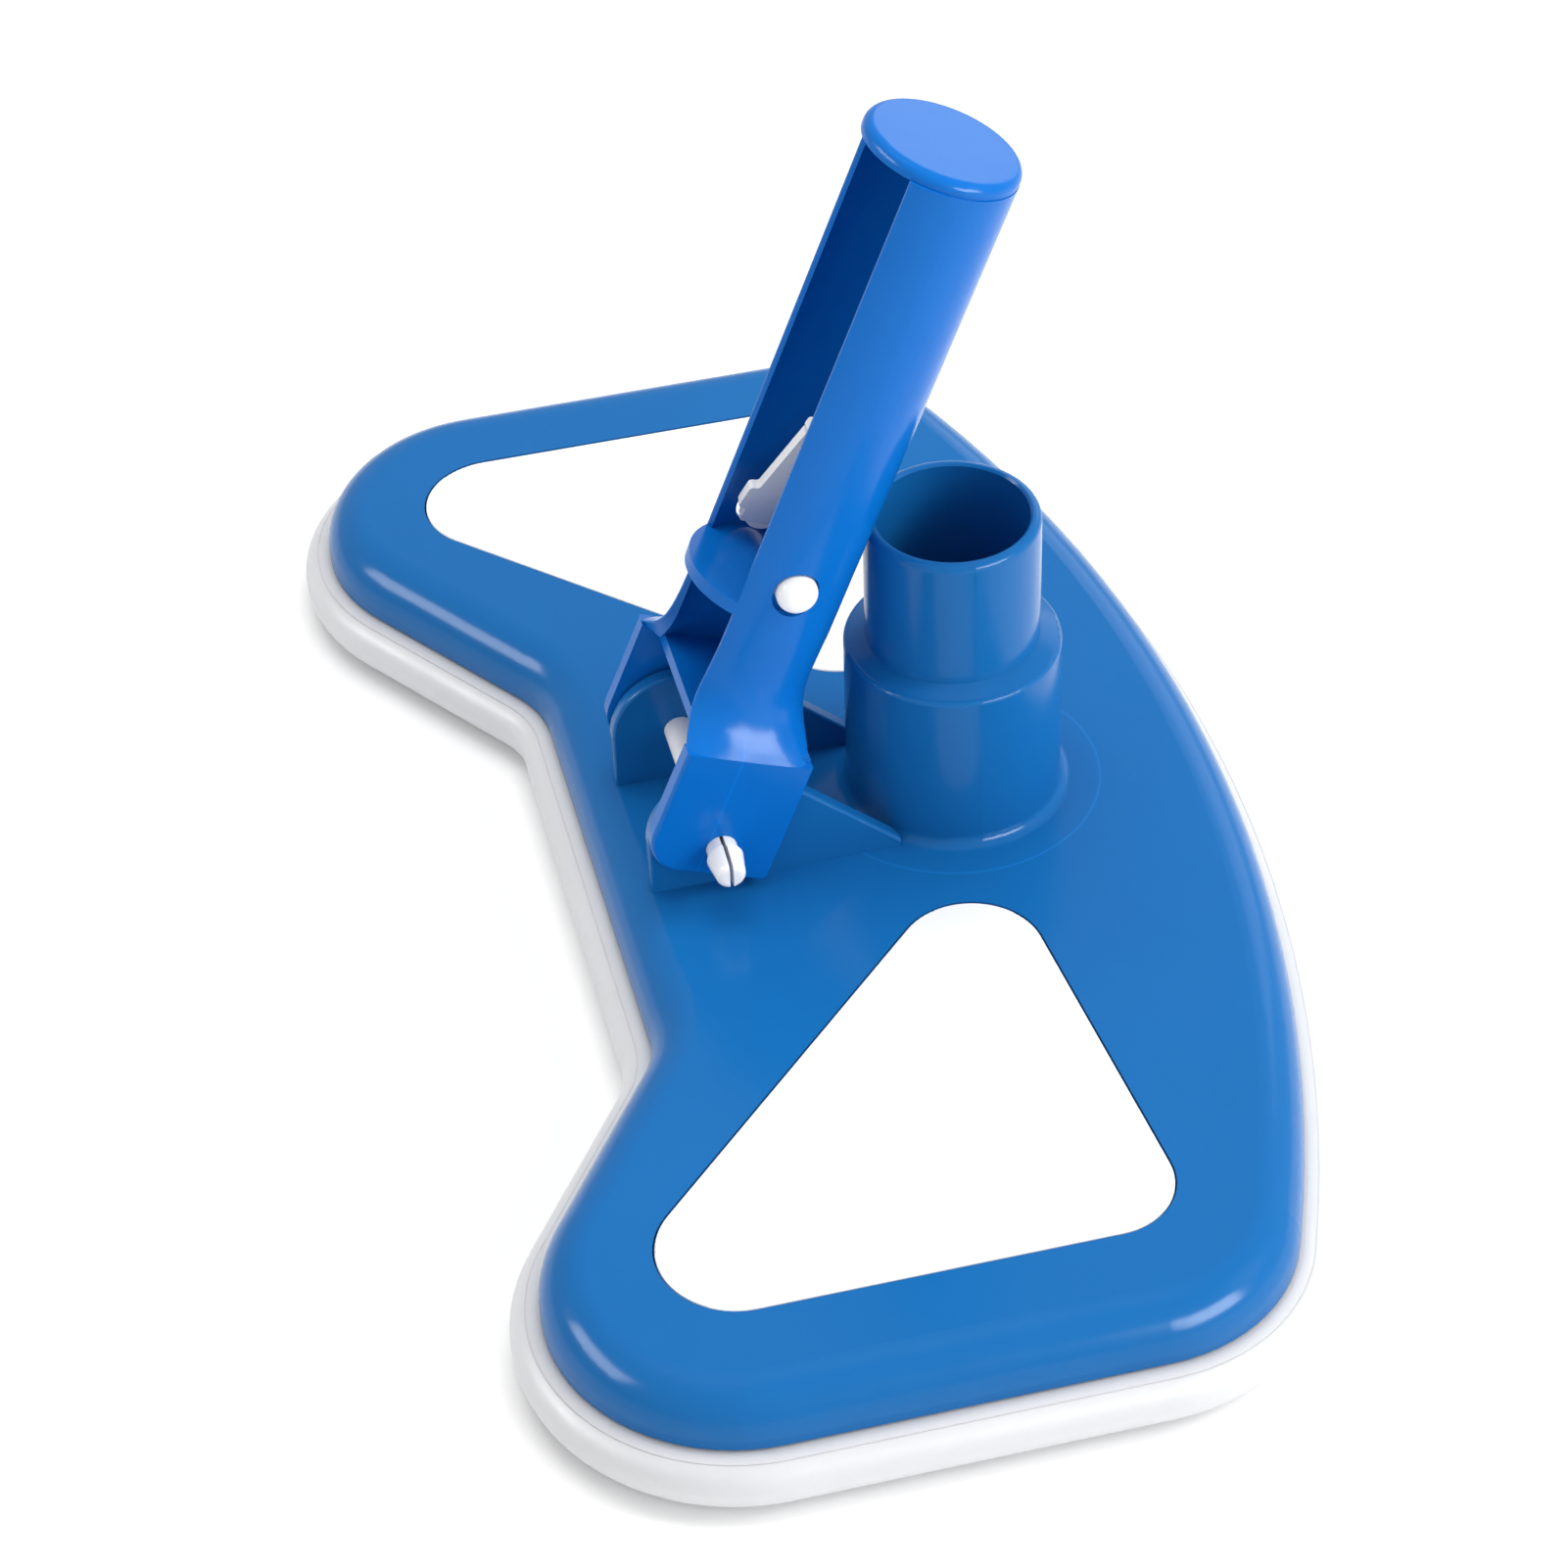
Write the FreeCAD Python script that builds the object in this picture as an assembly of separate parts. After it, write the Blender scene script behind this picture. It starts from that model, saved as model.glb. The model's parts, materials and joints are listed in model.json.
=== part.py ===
import FreeCAD, Part
import math
import os

from FreeCAD import Matrix, Placement, Rotation, Vector

# Weighted pool vacuum head.  Everything is drawn from the hose cuff's axis, with z = 0 on the
# pool floor, the wings along X and the convex front towards +Y.  The last step moves every
# piece along Y, so that the origin is on the floor under the middle of the bumper.

# --- plan outline of the blue shell at the foot of its skirt -------------------------------
HALF_LENGTH = 135.5          # straight outer ends of the wings
FRONT_Y = 49.5               # foremost point of the convex front
FRONT_R = 304.0              # large front arc
FRONT_CORNER_R = 30.0
REAR_CORNER_R = 32.3
NOTCH_X = 48.7               # where the rear flat and the slanted wing edge would meet
NOTCH_Y = -66.2              # rear flat, behind the handle
NOTCH_R = 21.0               # hollow corner between the two
WING_ANGLE = 35.0            # slanted wing edge, from X
EPS = 1.0                    # how far cutting tools reach past a face
TINY = 1e-3                  # tolerance for picking edges by position

# --- heights --------------------------------------------------------------------------------
TOP_Z = 21.5                 # top face of the deck
SKIRT_Z = 11.7               # foot of the skirt
DECK = 2.5                   # deck and skirt thickness
EDGE_R = 8.0                 # rounded top edge of the shell
PLATE_Z = 7.2                # underside of the base plate, where the bristles start
PLATE = 2.5
PLATE_TOP = PLATE_Z + PLATE

# --- bumper -----------------------------------------------------------------------------------
BUMPER_OUT = 5.2             # how far it stands out past the skirt
BUMPER_TOP = SKIRT_Z - 0.5
BUMPER_TOP_R = 4.5
BUMPER_FOOT_R = 6.5
BUMPER_IN = -2.8             # inner face, just inside the skirt's inner face
LEDGE_IN = -7.0              # inner ledge that the base plate clamps
TONGUE_IN = -5.2             # tongue that stands up inside the skirt
TONGUE_Z = 14.0
GROOVE = (2.3, 2.6)          # fine line moulded round the bumper's shoulder
GROOVE_Z = 10.68

# --- weight pockets: corner points and corner radii of the right-hand cover ----------------------
COVER_CORNERS = [(115.2, -97.2, 13.6), (115.2, 9.3, 12.0), (17.8, 0.8, 12.7)]
COVER_GAP = 0.3
COVER_WALL = 2.0
BALLAST_GAP = 0.3

# --- hose cuff ----------------------------------------------------------------------------------
CUFF_LOW_R = 19.25           # takes a 38 mm hose end
CUFF_TOP_R = 15.47           # takes a 31 mm hose end
CUFF_BORE_R = 13.53
CUFF_STEP = 32.75            # top of the large diameter, above the deck
CUFF_SHOULDER = 34.2         # foot of the small diameter
CUFF_RIM = 59.7
CUFF_FOOT_R = 2.0
CUFF_EDGE_R = 0.8
RIM_R = 1.4
BORE_BEVEL = 0.4
THROAT_R = 16.0              # spigot under the deck that meets the base plate
INLET_R = 17.5               # flared mouth in the underside

# --- handle lugs on the deck ----------------------------------------------------------------------
PIVOT_Y = -47.2
PIVOT_H = 10.8               # pivot height above the deck
LUG_IN = 13.2
LUG_OUT = 16.2
LUG_R = 12.2
GUSSET_TOP_Y = -38.1         # where the lug's level top turns down
GUSSET_TIP = (-14.1, 1.7)    # foot of the slope, y and height above the deck
GUSSET_CLEAR_R = 20.4        # the gussets stop short of the cuff, so a hose end seats
LUG_EDGE_R = 0.6

# --- pivot pin ------------------------------------------------------------------------------------
PIN_R = 2.75
PIN_HOLE_R = 2.8
PIN_HEAD_R = 4.6
PIN_HEAD = 2.0
PIN_FACE = 0.15              # the head and the ear stay this far apart
PIN_BARB_R = 3.25
PIN_BARB_FROM = 2.6          # the barb starts this far outside the ear
PIN_TIP_R = 2.5
PIN_TIP_EDGE_R = 1.2
PIN_PROUD = 7.8              # how far the split end stands out of the ear
PIN_SLOT = 0.7
PIN_SLOT_FROM = 9.0

# --- handle, drawn upright over the pivot, with its tube axis AXIS_SET behind it -----------------
TILT = 21.5                  # rest angle, leaning on the cuff's rim
AXIS_SET = 2.63
TUBE_R = 14.03
TUBE_WALL = 1.2
OPEN_Y = -8.3                # free edges of the channel, behind the tube axis
OPEN_LAND = 0.4              # narrow flat left on each free edge, outside its slanted face
CAP_FOOT = 130.0
CAP_TOP = 132.4
CAP_R = 13.65               # a little inside the tube, and set forward
CAP_SET = 0.33
CAP_EDGE_R = 1.7
STOP_FOOT = 43.4             # disc that stops the pole
STOP_TOP = 45.8
FLARE_TOP = 38.2             # the tube starts to widen here
FLARE_FOOT = 19.2            # crease where it becomes the fork
FORK_HALF = 19.8             # outer face of the ears
FORK_FRONT = 13.3            # front of the fork, from the tube axis
FLARE_STEP = 0.06            # moulding line between the tube and the flare
FLARE_POWER = 3.3            # how suddenly the flare widens
FLARE_REAR = 1.9             # the free edges move back by this much at the fork
FLARE_STOPS = (-0.1, 0.0, 0.25, 0.5, 0.7, 0.85, 1.0)
CORNER_POWER = 8.0           # how suddenly the round section turns square
CORNER_FRONT = 7.0           # how square its front corners become
CORNER_REAR = 2.6
HOLLOW_HALF = 14.2           # half width of the channel's inside at the fork
HOLLOW_CORNER = 2.0
SECTION_STEPS = 24
EAR = 3.2
EAR_FOOT = -6.3
EAR_REAR_TOP = -12.8
EAR_REAR = -13.0
EAR_CORNER_R = 7.0
EAR_FRONT_R = 1.2
EAR_EDGE_R = 0.8
WEB = 2.0
WEB_REAR = 1.3               # the web stops this far inside the tube's free edges
WEB_TOP = 20.2

# --- spring clip with two buttons, inside the channel ------------------------------------------------
BUTTON_H = 51.2              # button height above the pivot
BUTTON_R = 3.6
BUTTON_END = 16.1
BUTTON_EDGE_R = 2.1
HOLE_R = 3.95
HOLE_DROP = 0.9              # the hole is long downwards, where the pressed button swings
APEX_H = 74.0                # hinge line of the two arms
APEX_R = 2.9                 # outer radius of the bend
APEX_HOLE_R = 0.95
ARM = 1.8
ARM_HALF = 4.0               # half the strip's width at the button
ARM_TOP_HALF = 2.4           # and at the bend
ARM_SPREAD = 18.2            # angle of each arm from the tube axis
ARM_FOOT = 49.2
ARM_GAP = 0.6
ARM_CORNER_R = 0.7
TAB_OUT = 1.6
TAB_SPAN = (52.5, 58.0)

# --- base screws: right-hand positions -----------------------------------------------------------
SCREW_SPOTS = [(112.0, 17.0), (108.0, -86.0), (50.0, -54.0), (30.0, 25.0)]
BOSS_R = 3.5
BOSS_FOOT = PLATE_TOP + 0.2
PILOT_R = 1.5
SCREW_R = 1.45
SCREW_HEAD_R = 3.4
SCREW_HEAD = 1.2
SCREW_SINK = 0.05            # the head's face sits this far inside the plate
SCREW_TIP = 17.0
SCREW_CLEAR_R = 1.8
COUNTERBORE_R = 3.8
CROSS = (0.8, 4.0)           # cross recess, width and span
CROSS_DEPTH = 0.7

# --- bristle rows under the base plate --------------------------------------------------------------
ROW_INSET = 14.0             # middle of the outer rows, in from the skirt
ROW_HALF = 3.5
FRONT_ROW_X = (14.0, 96.0)
SIDE_ROW_Y = (-66.0, 2.0)
WING_ROW_INSET = 3.0         # the slanted rows stop this far short of their corners
NOTCH_ROW_X = 34.0
INNER_ROW = ((31.0, -10.0), (100.0, -34.0))

SIDES = {"right": 1.0, "left": -1.0}


def outline_parts(offset):
    """Centres and tangent points of the right half of the outline, moved out by offset."""
    angle = math.radians(WING_ANGLE)
    front = Vector(0, FRONT_Y - FRONT_R, 0)
    cx = HALF_LENGTH - FRONT_CORNER_R
    cy = front.y + math.sqrt((FRONT_R - FRONT_CORNER_R) ** 2 - cx ** 2)
    corner = Vector(cx, cy, 0)
    reach = math.atan2(corner.y - front.y, corner.x)
    normal = Vector(-math.sin(angle), -math.cos(angle), 0)
    rx = HALF_LENGTH - REAR_CORNER_R
    ry = NOTCH_Y + (-REAR_CORNER_R - (rx - NOTCH_X) * normal.x) / normal.y
    rear = Vector(rx, ry, 0)
    notch = Vector(NOTCH_X - NOTCH_R * math.tan(angle / 2), NOTCH_Y - NOTCH_R, 0)
    return {
        "front": front,
        "reach": reach,
        "corner": corner,
        "rear": rear,
        "notch": notch,
        "normal": normal,
        "front_r": FRONT_R + offset,
        "corner_r": FRONT_CORNER_R + offset,
        "rear_r": REAR_CORNER_R + offset,
        "notch_r": NOTCH_R - offset,
    }


def polar(centre, radius, angle):
    return centre + Vector(math.cos(angle), math.sin(angle), 0) * radius


def outline_wire(offset, z):
    """Closed outline of the shell, moved out by offset, at height z."""
    p = outline_parts(offset)
    wing = math.radians(WING_ANGLE)
    rear_middle = -(math.pi / 2 + wing) / 2
    tip = polar(p["front"], p["front_r"], p["reach"])
    side_top = p["corner"] + Vector(p["corner_r"], 0, 0)
    side_foot = p["rear"] + Vector(p["rear_r"], 0, 0)
    wing_out = p["rear"] + p["normal"] * p["rear_r"]
    wing_in = p["notch"] - p["normal"] * p["notch_r"]
    flat = p["notch"] + Vector(0, p["notch_r"], 0)
    half = [
        Part.Arc(tip, polar(p["corner"], p["corner_r"], p["reach"] / 2), side_top).toShape(),
        Part.LineSegment(side_top, side_foot).toShape(),
        Part.Arc(side_foot, polar(p["rear"], p["rear_r"], rear_middle), wing_out).toShape(),
        Part.LineSegment(wing_out, wing_in).toShape(),
        Part.Arc(wing_in, polar(p["notch"], p["notch_r"], math.pi / 2 - wing / 2), flat).toShape(),
    ]
    mirrored = [edge.mirror(Vector(0, 0, 0), Vector(1, 0, 0)) for edge in half]
    top = Vector(0, p["front"].y + p["front_r"], 0)
    front = Part.Arc(Vector(-tip.x, tip.y, 0), top, tip).toShape()
    back = Part.LineSegment(flat, Vector(-flat.x, flat.y, 0)).toShape()
    wire = Part.Wire(Part.__sortEdges__([front] + half + [back] + mirrored))
    wire.translate(Vector(0, 0, z))
    return wire


def corner_wire(corners, offset, z):
    """Closed polygon with rounded corners, from (x, y, radius), moved out by offset."""
    count = len(corners)
    starts = []
    ends = []
    middles = []
    for i in range(count):
        here = Vector(corners[i][0], corners[i][1], 0)
        before = Vector(corners[i - 1][0], corners[i - 1][1], 0)
        after = Vector(corners[(i + 1) % count][0], corners[(i + 1) % count][1], 0)
        back = (before - here).normalize()
        on = (after - here).normalize()
        half = back.getAngle(on) / 2
        radius = corners[i][2]
        inward = (back + on).normalize()
        centre = here + inward * (radius / math.sin(half))
        starts.append(centre + _square(back, inward) * (radius + offset))
        ends.append(centre + _square(on, inward) * (radius + offset))
        middles.append(centre - inward * (radius + offset))
    edges = []
    for i in range(count):
        edges.append(Part.Arc(starts[i], middles[i], ends[i]).toShape())
        edges.append(Part.LineSegment(ends[i], starts[(i + 1) % count]).toShape())
    wire = Part.Wire(Part.__sortEdges__(edges))
    wire.translate(Vector(0, 0, z))
    return wire


def _square(along, inward):
    """Unit vector square to an edge, pointing away from the polygon's inside."""
    side = Vector(-along.y, along.x, 0)
    return side if side.dot(inward) < 0 else side * -1


def line_chain(points):
    """Straight edges from each point to the next."""
    return [Part.LineSegment(first, second).toShape() for first, second in zip(points, points[1:])]


def prism(wire, height):
    return Part.Face(wire).extrude(Vector(0, 0, height))


def cylinder(radius, x, y, z0, z1):
    return Part.makeCylinder(radius, z1 - z0, Vector(x, y, z0))


def x_cylinder(radius, x0, x1, y=0.0, z=0.0):
    return Part.makeCylinder(radius, x1 - x0, Vector(x0, y, z), Vector(1, 0, 0))


def edges_at(shape, z, tolerance=1e-4):
    box = [(edge, edge.BoundBox) for edge in shape.Edges]
    return [edge for edge, b in box if abs(b.ZMin - z) < tolerance and abs(b.ZMax - z) < tolerance]


def mirrored_x(shape):
    return shape.mirror(Vector(0, 0, 0), Vector(1, 0, 0))


def on_side(shape, side):
    return shape if side > 0 else mirrored_x(shape)


def screw_spots():
    return [(side * x, y) for x, y in SCREW_SPOTS for side in SIDES.values()]


def make_cuff():
    """Stepped hose cuff with its bore and the throat below the deck, as one turned solid."""
    low = CUFF_LOW_R
    foot = TOP_Z
    step = TOP_Z + CUFF_STEP
    shoulder = TOP_Z + CUFF_SHOULDER
    rim = TOP_Z + CUFF_RIM
    under = TOP_Z - DECK / 2
    turn = 1 - math.sqrt(0.5)

    def at(r, z):
        return Vector(r, 0, z)

    foot_arc = Part.Arc(
        at(low + CUFF_FOOT_R, foot),
        at(low + CUFF_FOOT_R * turn, foot + CUFF_FOOT_R * turn),
        at(low, foot + CUFF_FOOT_R),
    )
    step_arc = Part.Arc(
        at(low, step - CUFF_EDGE_R),
        at(low - CUFF_EDGE_R * turn, step - CUFF_EDGE_R * turn),
        at(low - CUFF_EDGE_R, step),
    )
    rim_arc = Part.Arc(
        at(CUFF_TOP_R, rim - RIM_R),
        at(CUFF_TOP_R - RIM_R * turn, rim - RIM_R * turn),
        at(CUFF_TOP_R - RIM_R, rim),
    )
    corners = [
        at(CUFF_TOP_R - RIM_R, rim),
        at(CUFF_BORE_R + BORE_BEVEL, rim),
        at(CUFF_BORE_R, rim - BORE_BEVEL),
        at(CUFF_BORE_R, BOSS_FOOT),
        at(THROAT_R, BOSS_FOOT),
        at(THROAT_R, under),
        at(low + CUFF_FOOT_R, under),
        at(low + CUFF_FOOT_R, foot),
    ]
    edges = [foot_arc.toShape()]
    edges.append(Part.LineSegment(at(low, foot + CUFF_FOOT_R), at(low, step - CUFF_EDGE_R)).toShape())
    edges.append(step_arc.toShape())
    slope = [at(low - CUFF_EDGE_R, step), at(CUFF_TOP_R, shoulder), at(CUFF_TOP_R, rim - RIM_R)]
    edges.extend(line_chain(slope))
    edges.append(rim_arc.toShape())
    edges.extend(line_chain(corners))
    return Part.Face(Part.Wire(edges)).revolve(Vector(0, 0, 0), Vector(0, 0, 1), 360)


def make_lug():
    """Right-hand lug: a rounded head round the pivot that slopes down to the cuff."""
    root = TOP_Z - DECK / 2
    pivot_z = TOP_Z + PIVOT_H
    top = pivot_z + LUG_R

    def at(y, z):
        return Vector(LUG_IN, y, z)

    side = PIVOT_Y - LUG_R
    quarter = LUG_R * math.sqrt(0.5)
    head = Part.Arc(at(side, pivot_z), at(PIVOT_Y - quarter, pivot_z + quarter), at(PIVOT_Y, top))
    tip_y, tip_h = GUSSET_TIP
    points = [
        at(PIVOT_Y, top),
        at(GUSSET_TOP_Y, top),
        at(tip_y, TOP_Z + tip_h),
        at(tip_y, root),
        at(side, root),
        at(side, pivot_z),
    ]
    edges = [head.toShape()] + line_chain(points)
    plate = Part.Face(Part.Wire(edges)).extrude(Vector(LUG_OUT - LUG_IN, 0, 0))
    rims = [
        edge for edge in plate.Edges
        if edge.BoundBox.XLength < TINY and edge.BoundBox.ZMax > TOP_Z + tip_h + EPS
    ]
    plate = plate.makeFillet(LUG_EDGE_R, rims)
    plate = plate.cut(cylinder(GUSSET_CLEAR_R, 0, 0, TOP_Z, TOP_Z + CUFF_STEP))
    return plate.cut(x_cylinder(PIN_HOLE_R, LUG_IN - EPS, LUG_OUT + EPS, PIVOT_Y, pivot_z))


def make_top_shell():
    """Blue shell: deck with a rounded edge and skirt, hose cuff, lugs and screw bosses."""
    shell = prism(outline_wire(0, SKIRT_Z), TOP_Z - SKIRT_Z)
    shell = shell.makeFillet(EDGE_R, edges_at(shell, TOP_Z))
    inside_top = TOP_Z - DECK
    inside = prism(outline_wire(-DECK, SKIRT_Z - EPS), inside_top - SKIRT_Z + EPS)
    inside = inside.makeFillet(EDGE_R - DECK, edges_at(inside, inside_top))
    shell = shell.cut(inside)
    shell = shell.cut(cylinder(CUFF_BORE_R, 0, 0, SKIRT_Z, TOP_Z + EPS))
    window = prism(corner_wire(COVER_CORNERS, COVER_GAP, SKIRT_Z), TOP_Z)
    shell = shell.cut([window, mirrored_x(window)])
    lug = make_lug()
    bosses = [cylinder(BOSS_R, x, y, BOSS_FOOT, inside_top + DECK / 2) for x, y in screw_spots()]
    shell = shell.fuse([make_cuff(), lug, mirrored_x(lug)] + bosses)
    pilots = [cylinder(PILOT_R, x, y, BOSS_FOOT - EPS, SCREW_TIP + EPS) for x, y in screw_spots()]
    return shell.cut(pilots).removeSplitter()


def make_bumper():
    """Soft vinyl bumper: a rounded band outside, a ledge and a tongue inside."""
    band = prism(outline_wire(BUMPER_OUT, 0), BUMPER_TOP)
    band = band.makeFillet(BUMPER_TOP_R, edges_at(band, BUMPER_TOP))
    band = band.makeFillet(BUMPER_FOOT_R, edges_at(band, 0))
    tongue = prism(outline_wire(BUMPER_IN, BUMPER_TOP - EPS), TONGUE_Z - BUMPER_TOP + EPS)
    band = band.fuse(tongue)
    band = band.cut(prism(outline_wire(BUMPER_IN, -EPS), PLATE_TOP + COVER_GAP + EPS))
    band = band.cut(prism(outline_wire(LEDGE_IN, 0), BUMPER_TOP))
    band = band.cut(prism(outline_wire(TONGUE_IN, BUMPER_TOP), TONGUE_Z))
    groove = prism(outline_wire(GROOVE[1], GROOVE_Z), BUMPER_TOP)
    groove = groove.cut(prism(outline_wire(GROOVE[0], GROOVE_Z - EPS), BUMPER_TOP + 2 * EPS))
    return band.cut(groove).removeSplitter()


def make_base_plate():
    """Underside plate with the flared suction inlet and counterbored screw holes."""
    plate = prism(outline_wire(BUMPER_IN - 0.2, PLATE_Z), PLATE)
    mouth = Part.makeCone(INLET_R, CUFF_BORE_R, PLATE, Vector(0, 0, PLATE_Z))
    holes = [mouth]
    for x, y in screw_spots():
        holes.append(cylinder(SCREW_CLEAR_R, x, y, PLATE_Z - EPS, PLATE_TOP + EPS))
        holes.append(cylinder(COUNTERBORE_R, x, y, PLATE_Z - EPS, PLATE_Z + SCREW_HEAD))
    return plate.cut(holes)


def make_base_screws():
    """Pan-head screws through the base plate into the shell's bosses."""
    width, span = CROSS
    face = PLATE_Z + SCREW_SINK
    foot = face - EPS
    screws = []
    for x, y in screw_spots():
        head = cylinder(SCREW_HEAD_R, x, y, face, PLATE_Z + SCREW_HEAD)
        shank = cylinder(SCREW_R, x, y, PLATE_Z + SCREW_HEAD / 2, SCREW_TIP)
        slots = [
            Part.makeBox(span, width, CROSS_DEPTH + EPS, Vector(x - span / 2, y - width / 2, foot)),
            Part.makeBox(width, span, CROSS_DEPTH + EPS, Vector(x - width / 2, y - span / 2, foot)),
        ]
        screws.append(head.fuse(shank).cut(slots).removeSplitter())
    return Part.makeCompound(screws)


def make_weight_cover():
    """Right-hand white cover, flush with the deck, with a rim down to the base plate."""
    cover = prism(corner_wire(COVER_CORNERS, 0, PLATE_TOP), TOP_Z - PLATE_TOP)
    cover = cover.makeFillet(COVER_GAP, edges_at(cover, TOP_Z))
    depth = TOP_Z - DECK - PLATE_TOP
    pocket = prism(corner_wire(COVER_CORNERS, -COVER_WALL, PLATE_TOP - EPS), depth + EPS)
    return cover.cut(pocket)


def make_ballast():
    """Right-hand iron ballast plate, in the cover's pocket."""
    height = TOP_Z - DECK - BALLAST_GAP - PLATE_TOP
    block = prism(corner_wire(COVER_CORNERS, -COVER_WALL - BALLAST_GAP, PLATE_TOP), height)
    return block.makeChamfer(EPS, edges_at(block, PLATE_TOP + height))


def strip(start, end):
    """Straight bristle row between two points, square-ended, from the floor to the plate."""
    along = (end - start).normalize()
    across = Vector(-along.y, along.x, 0) * ROW_HALF
    points = [start + across, end + across, end - across, start - across, start + across]
    return prism(Part.makePolygon(points), PLATE_Z)


def make_front_row():
    """Right-hand bristle row that follows the front arc."""
    p = outline_parts(-ROW_INSET)
    rows = []
    for x in FRONT_ROW_X:
        rows.append(math.acos(x / p["front_r"]))
    inner = p["front_r"] - ROW_HALF
    outer = p["front_r"] + ROW_HALF
    first, last = rows
    middle = (first + last) / 2
    a, b, c = [polar(p["front"], outer, angle) for angle in (first, middle, last)]
    d, e, f = [polar(p["front"], inner, angle) for angle in (last, middle, first)]
    edges = [
        Part.Arc(a, b, c).toShape(),
        Part.LineSegment(c, d).toShape(),
        Part.Arc(d, e, f).toShape(),
        Part.LineSegment(f, a).toShape(),
    ]
    return prism(Part.Wire(edges), PLATE_Z)


def make_side_row():
    x = HALF_LENGTH - ROW_INSET
    return strip(Vector(x, SIDE_ROW_Y[0], 0), Vector(x, SIDE_ROW_Y[1], 0))


def make_wing_row():
    """Right-hand row along the slanted rear edge of the wing."""
    p = outline_parts(-ROW_INSET)
    outer = p["rear"] + p["normal"] * p["rear_r"]
    inner = p["notch"] - p["normal"] * p["notch_r"]
    along = (outer - inner).normalize()
    return strip(inner + along * WING_ROW_INSET, outer - along * (WING_ROW_INSET / 2))


def make_notch_row():
    y = NOTCH_Y + ROW_INSET
    return strip(Vector(-NOTCH_ROW_X, y, 0), Vector(NOTCH_ROW_X, y, 0))


def make_inner_row():
    (x0, y0), (x1, y1) = INNER_ROW
    return strip(Vector(x0, y0, 0), Vector(x1, y1, 0))


def make_pivot_pin():
    """Split snap pin: flat head on the left, two barbed prongs on the right."""
    z = TOP_Z + PIVOT_H
    face = FORK_HALF + PIN_FACE
    end = face + PIN_PROUD
    barb_foot = face + PIN_BARB_FROM
    shank = x_cylinder(PIN_R, -face, barb_foot, PIVOT_Y, z)
    head = x_cylinder(PIN_HEAD_R, -face - PIN_HEAD, -face, PIVOT_Y, z)
    head = head.makeFillet(PIN_HEAD / 2, [e for e in head.Edges if e.BoundBox.XMax < -face - EPS])
    barb_at = Vector(barb_foot, PIVOT_Y, z)
    barb = Part.makeCone(PIN_BARB_R, PIN_TIP_R, end - barb_foot, barb_at, Vector(1, 0, 0))
    barb = barb.makeFillet(PIN_TIP_EDGE_R, [e for e in barb.Edges if e.BoundBox.XMin > end - TINY])
    slot = Part.makeBox(
        end - PIN_SLOT_FROM, PIN_SLOT, 4 * PIN_BARB_R,
        Vector(PIN_SLOT_FROM, PIVOT_Y - PIN_SLOT / 2, z - 2 * PIN_BARB_R),
    )
    return shank.fuse([head, barb]).cut(slot).removeSplitter()


def channel_points(half, front, powers, end):
    """Points along a superellipse from the right free edge, at y = end, round to the left one.

    The powers are those of the rear part (y below 0) and of the front part.
    """
    start = math.asin((-end / front) ** (powers[0] / 2))
    points = []
    for i in range(SECTION_STEPS + 1):
        angle = -start + (math.pi + 2 * start) * i / SECTION_STEPS
        c = math.cos(angle)
        s = math.sin(angle)
        power = powers[0] if s < 0 else powers[1]
        x = half * math.copysign(abs(c) ** (2 / power), c)
        y = front * math.copysign(abs(s) ** (2 / power), s)
        points.append(Vector(x, y, 0))
    return points


def flare_sizes(t):
    """Height, half width, front and free edge of the outside at t, from 0 (tube) to 1 (fork)."""
    share = max(t, 0)
    height = FLARE_TOP + (FLARE_FOOT - FLARE_TOP) * t
    half = TUBE_R + (FORK_HALF - TUBE_R) * share ** FLARE_POWER - FLARE_STEP
    front = TUBE_R + (FORK_FRONT - TUBE_R) * share - FLARE_STEP
    return height, half, front, OPEN_Y - FLARE_REAR * share ** 2


def outer_section(t):
    height, half, front, end = flare_sizes(t)
    squareness = max(t, 0) ** CORNER_POWER
    powers = (2 + CORNER_REAR * squareness, 2 + CORNER_FRONT * squareness)
    points = channel_points(half, front, powers, end)
    curve = Part.BSplineCurve()
    curve.interpolate(points)
    wire = Part.Wire([curve.toShape(), Part.LineSegment(points[-1], points[0]).toShape()])
    wire.translate(Vector(0, 0, height))
    return wire


def inner_section(t):
    """Section of the hollow, whose slanted ends reach out to the free edges of the wall."""
    share = max(t, 0)
    height, outer_half, outer_front, outer_end = flare_sizes(t)
    squareness = share ** CORNER_POWER
    first = channel_points(outer_half, outer_front, (2 + CORNER_REAR * squareness, 2), outer_end)[0]
    tube_half = TUBE_R - TUBE_WALL - FLARE_STEP
    half = tube_half + (HOLLOW_HALF - tube_half) * share ** FLARE_POWER
    front = outer_front - TUBE_WALL
    end = OPEN_Y * tube_half / TUBE_R
    power = 2 + HOLLOW_CORNER * squareness
    points = channel_points(half, front, (power, power), end)
    lip = Vector(first.x - OPEN_LAND, outer_end, 0)
    mouth = [lip - Vector(0, 2 * EPS, 0), lip, points[0]]
    mouth = [Vector(-point.x, point.y, 0) for point in reversed(mouth)] + mouth
    curve = Part.BSplineCurve()
    curve.interpolate(points)
    wire = Part.Wire([curve.toShape()] + line_chain(mouth))
    wire.translate(Vector(0, 0, height))
    return wire


def make_flare():
    """Wall that widens from the tube to the fork, open at the rear."""
    outer = Part.makeLoft([outer_section(t) for t in FLARE_STOPS], True)
    inner = Part.makeLoft([inner_section(t) for t in FLARE_STOPS], True)
    return outer.cut(inner)


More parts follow.
